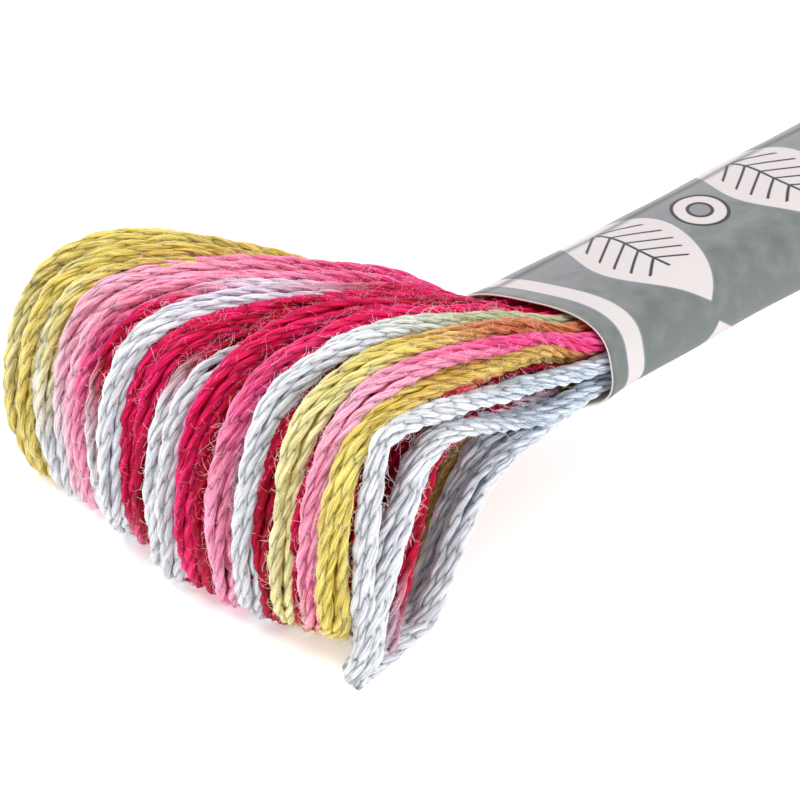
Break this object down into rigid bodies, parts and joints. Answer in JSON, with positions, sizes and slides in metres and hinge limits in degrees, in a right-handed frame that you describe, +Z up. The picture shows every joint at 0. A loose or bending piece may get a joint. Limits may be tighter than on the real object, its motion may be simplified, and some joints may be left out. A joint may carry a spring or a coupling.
{
  "type": "skein of embroidery floss",
  "caption": "Looped skein of variegated six-strand embroidery thread, one end fanned out of a narrow paper sleeve round its waist.",
  "frame": {"origin": "middle of the skein's outline on the surface that it rests on", "axes": "+X from the fanned loop end, through the paper sleeve, to the plain end; +Z up from the surface; +Y across, towards the side to which the loops fan out most"},
  "size_m": [0.1658, 0.0248, 0.0131],
  "materials": {
    "floss": "mercerised cotton, soft sheen, dyed in crimson, pink, white and olive stretches",
    "sleeve_paper": "semi-gloss printed paper"
  },
  "bodies": {
    "root": {"floss_hank": "floss", "paper_sleeve": "sleeve_paper"}
  },
  "joints": []
}
